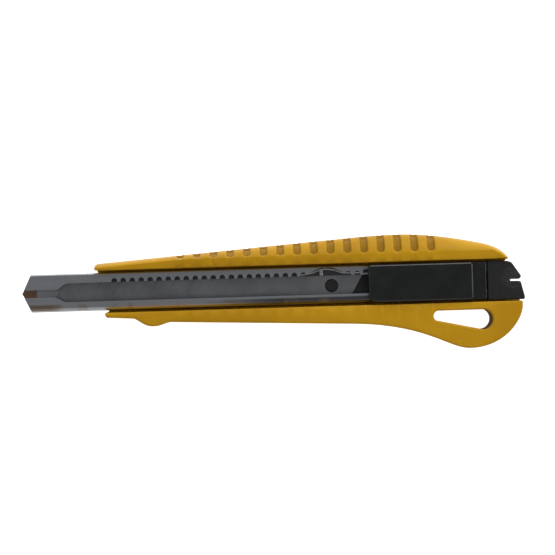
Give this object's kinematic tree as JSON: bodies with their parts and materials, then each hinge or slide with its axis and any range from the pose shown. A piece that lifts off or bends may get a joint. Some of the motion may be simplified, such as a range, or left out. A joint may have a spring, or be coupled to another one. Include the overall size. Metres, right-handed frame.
{
  "type": "utility knife",
  "caption": "Slim hand knife whose segmented blade slides out of a steel channel in a moulded grip, with a click-stop thumb slider and a pull-off rear cap.",
  "frame": {"origin": "on the grip's flat back, on the centreline of the blade channel, halfway along the knife", "axes": "+X from the nose to the tail, +Y from the finger side to the ribbed spine, +Z out of the thumb side"},
  "size_m": [0.1342, 0.0309, 0.0098],
  "materials": {
    "grip_yellow": "satin moulded plastic",
    "channel_steel": "rolled and plated",
    "blade_steel": "ground",
    "spring_steel": "bright",
    "holder_black": "moulded",
    "slider_black": "polished",
    "cap_black": "moulded, scuffed"
  },
  "bodies": {
    "knife_body": {"grip_handle": "grip_yellow", "blade_channel": "channel_steel"},
    "blade_carriage": {"thumb_slider": "slider_black", "blade_holder": "holder_black", "snap_blade": "blade_steel", "lock_spring": "spring_steel"},
    "rear_cap": {"rear_cap": "cap_black"}
  },
  "joints": [
    {"name": "blade_slide", "type": "slide", "parent": "knife_body", "child": "blade_carriage", "axis": [-1, 0, 0], "range_m": [0, 0.0552], "deforming": ["lock_spring"]},
    {"name": "rear_cap_pull", "type": "slide", "parent": "knife_body", "child": "rear_cap", "axis": [1, 0, 0], "range_m": [0, 0.02]}
  ]
}
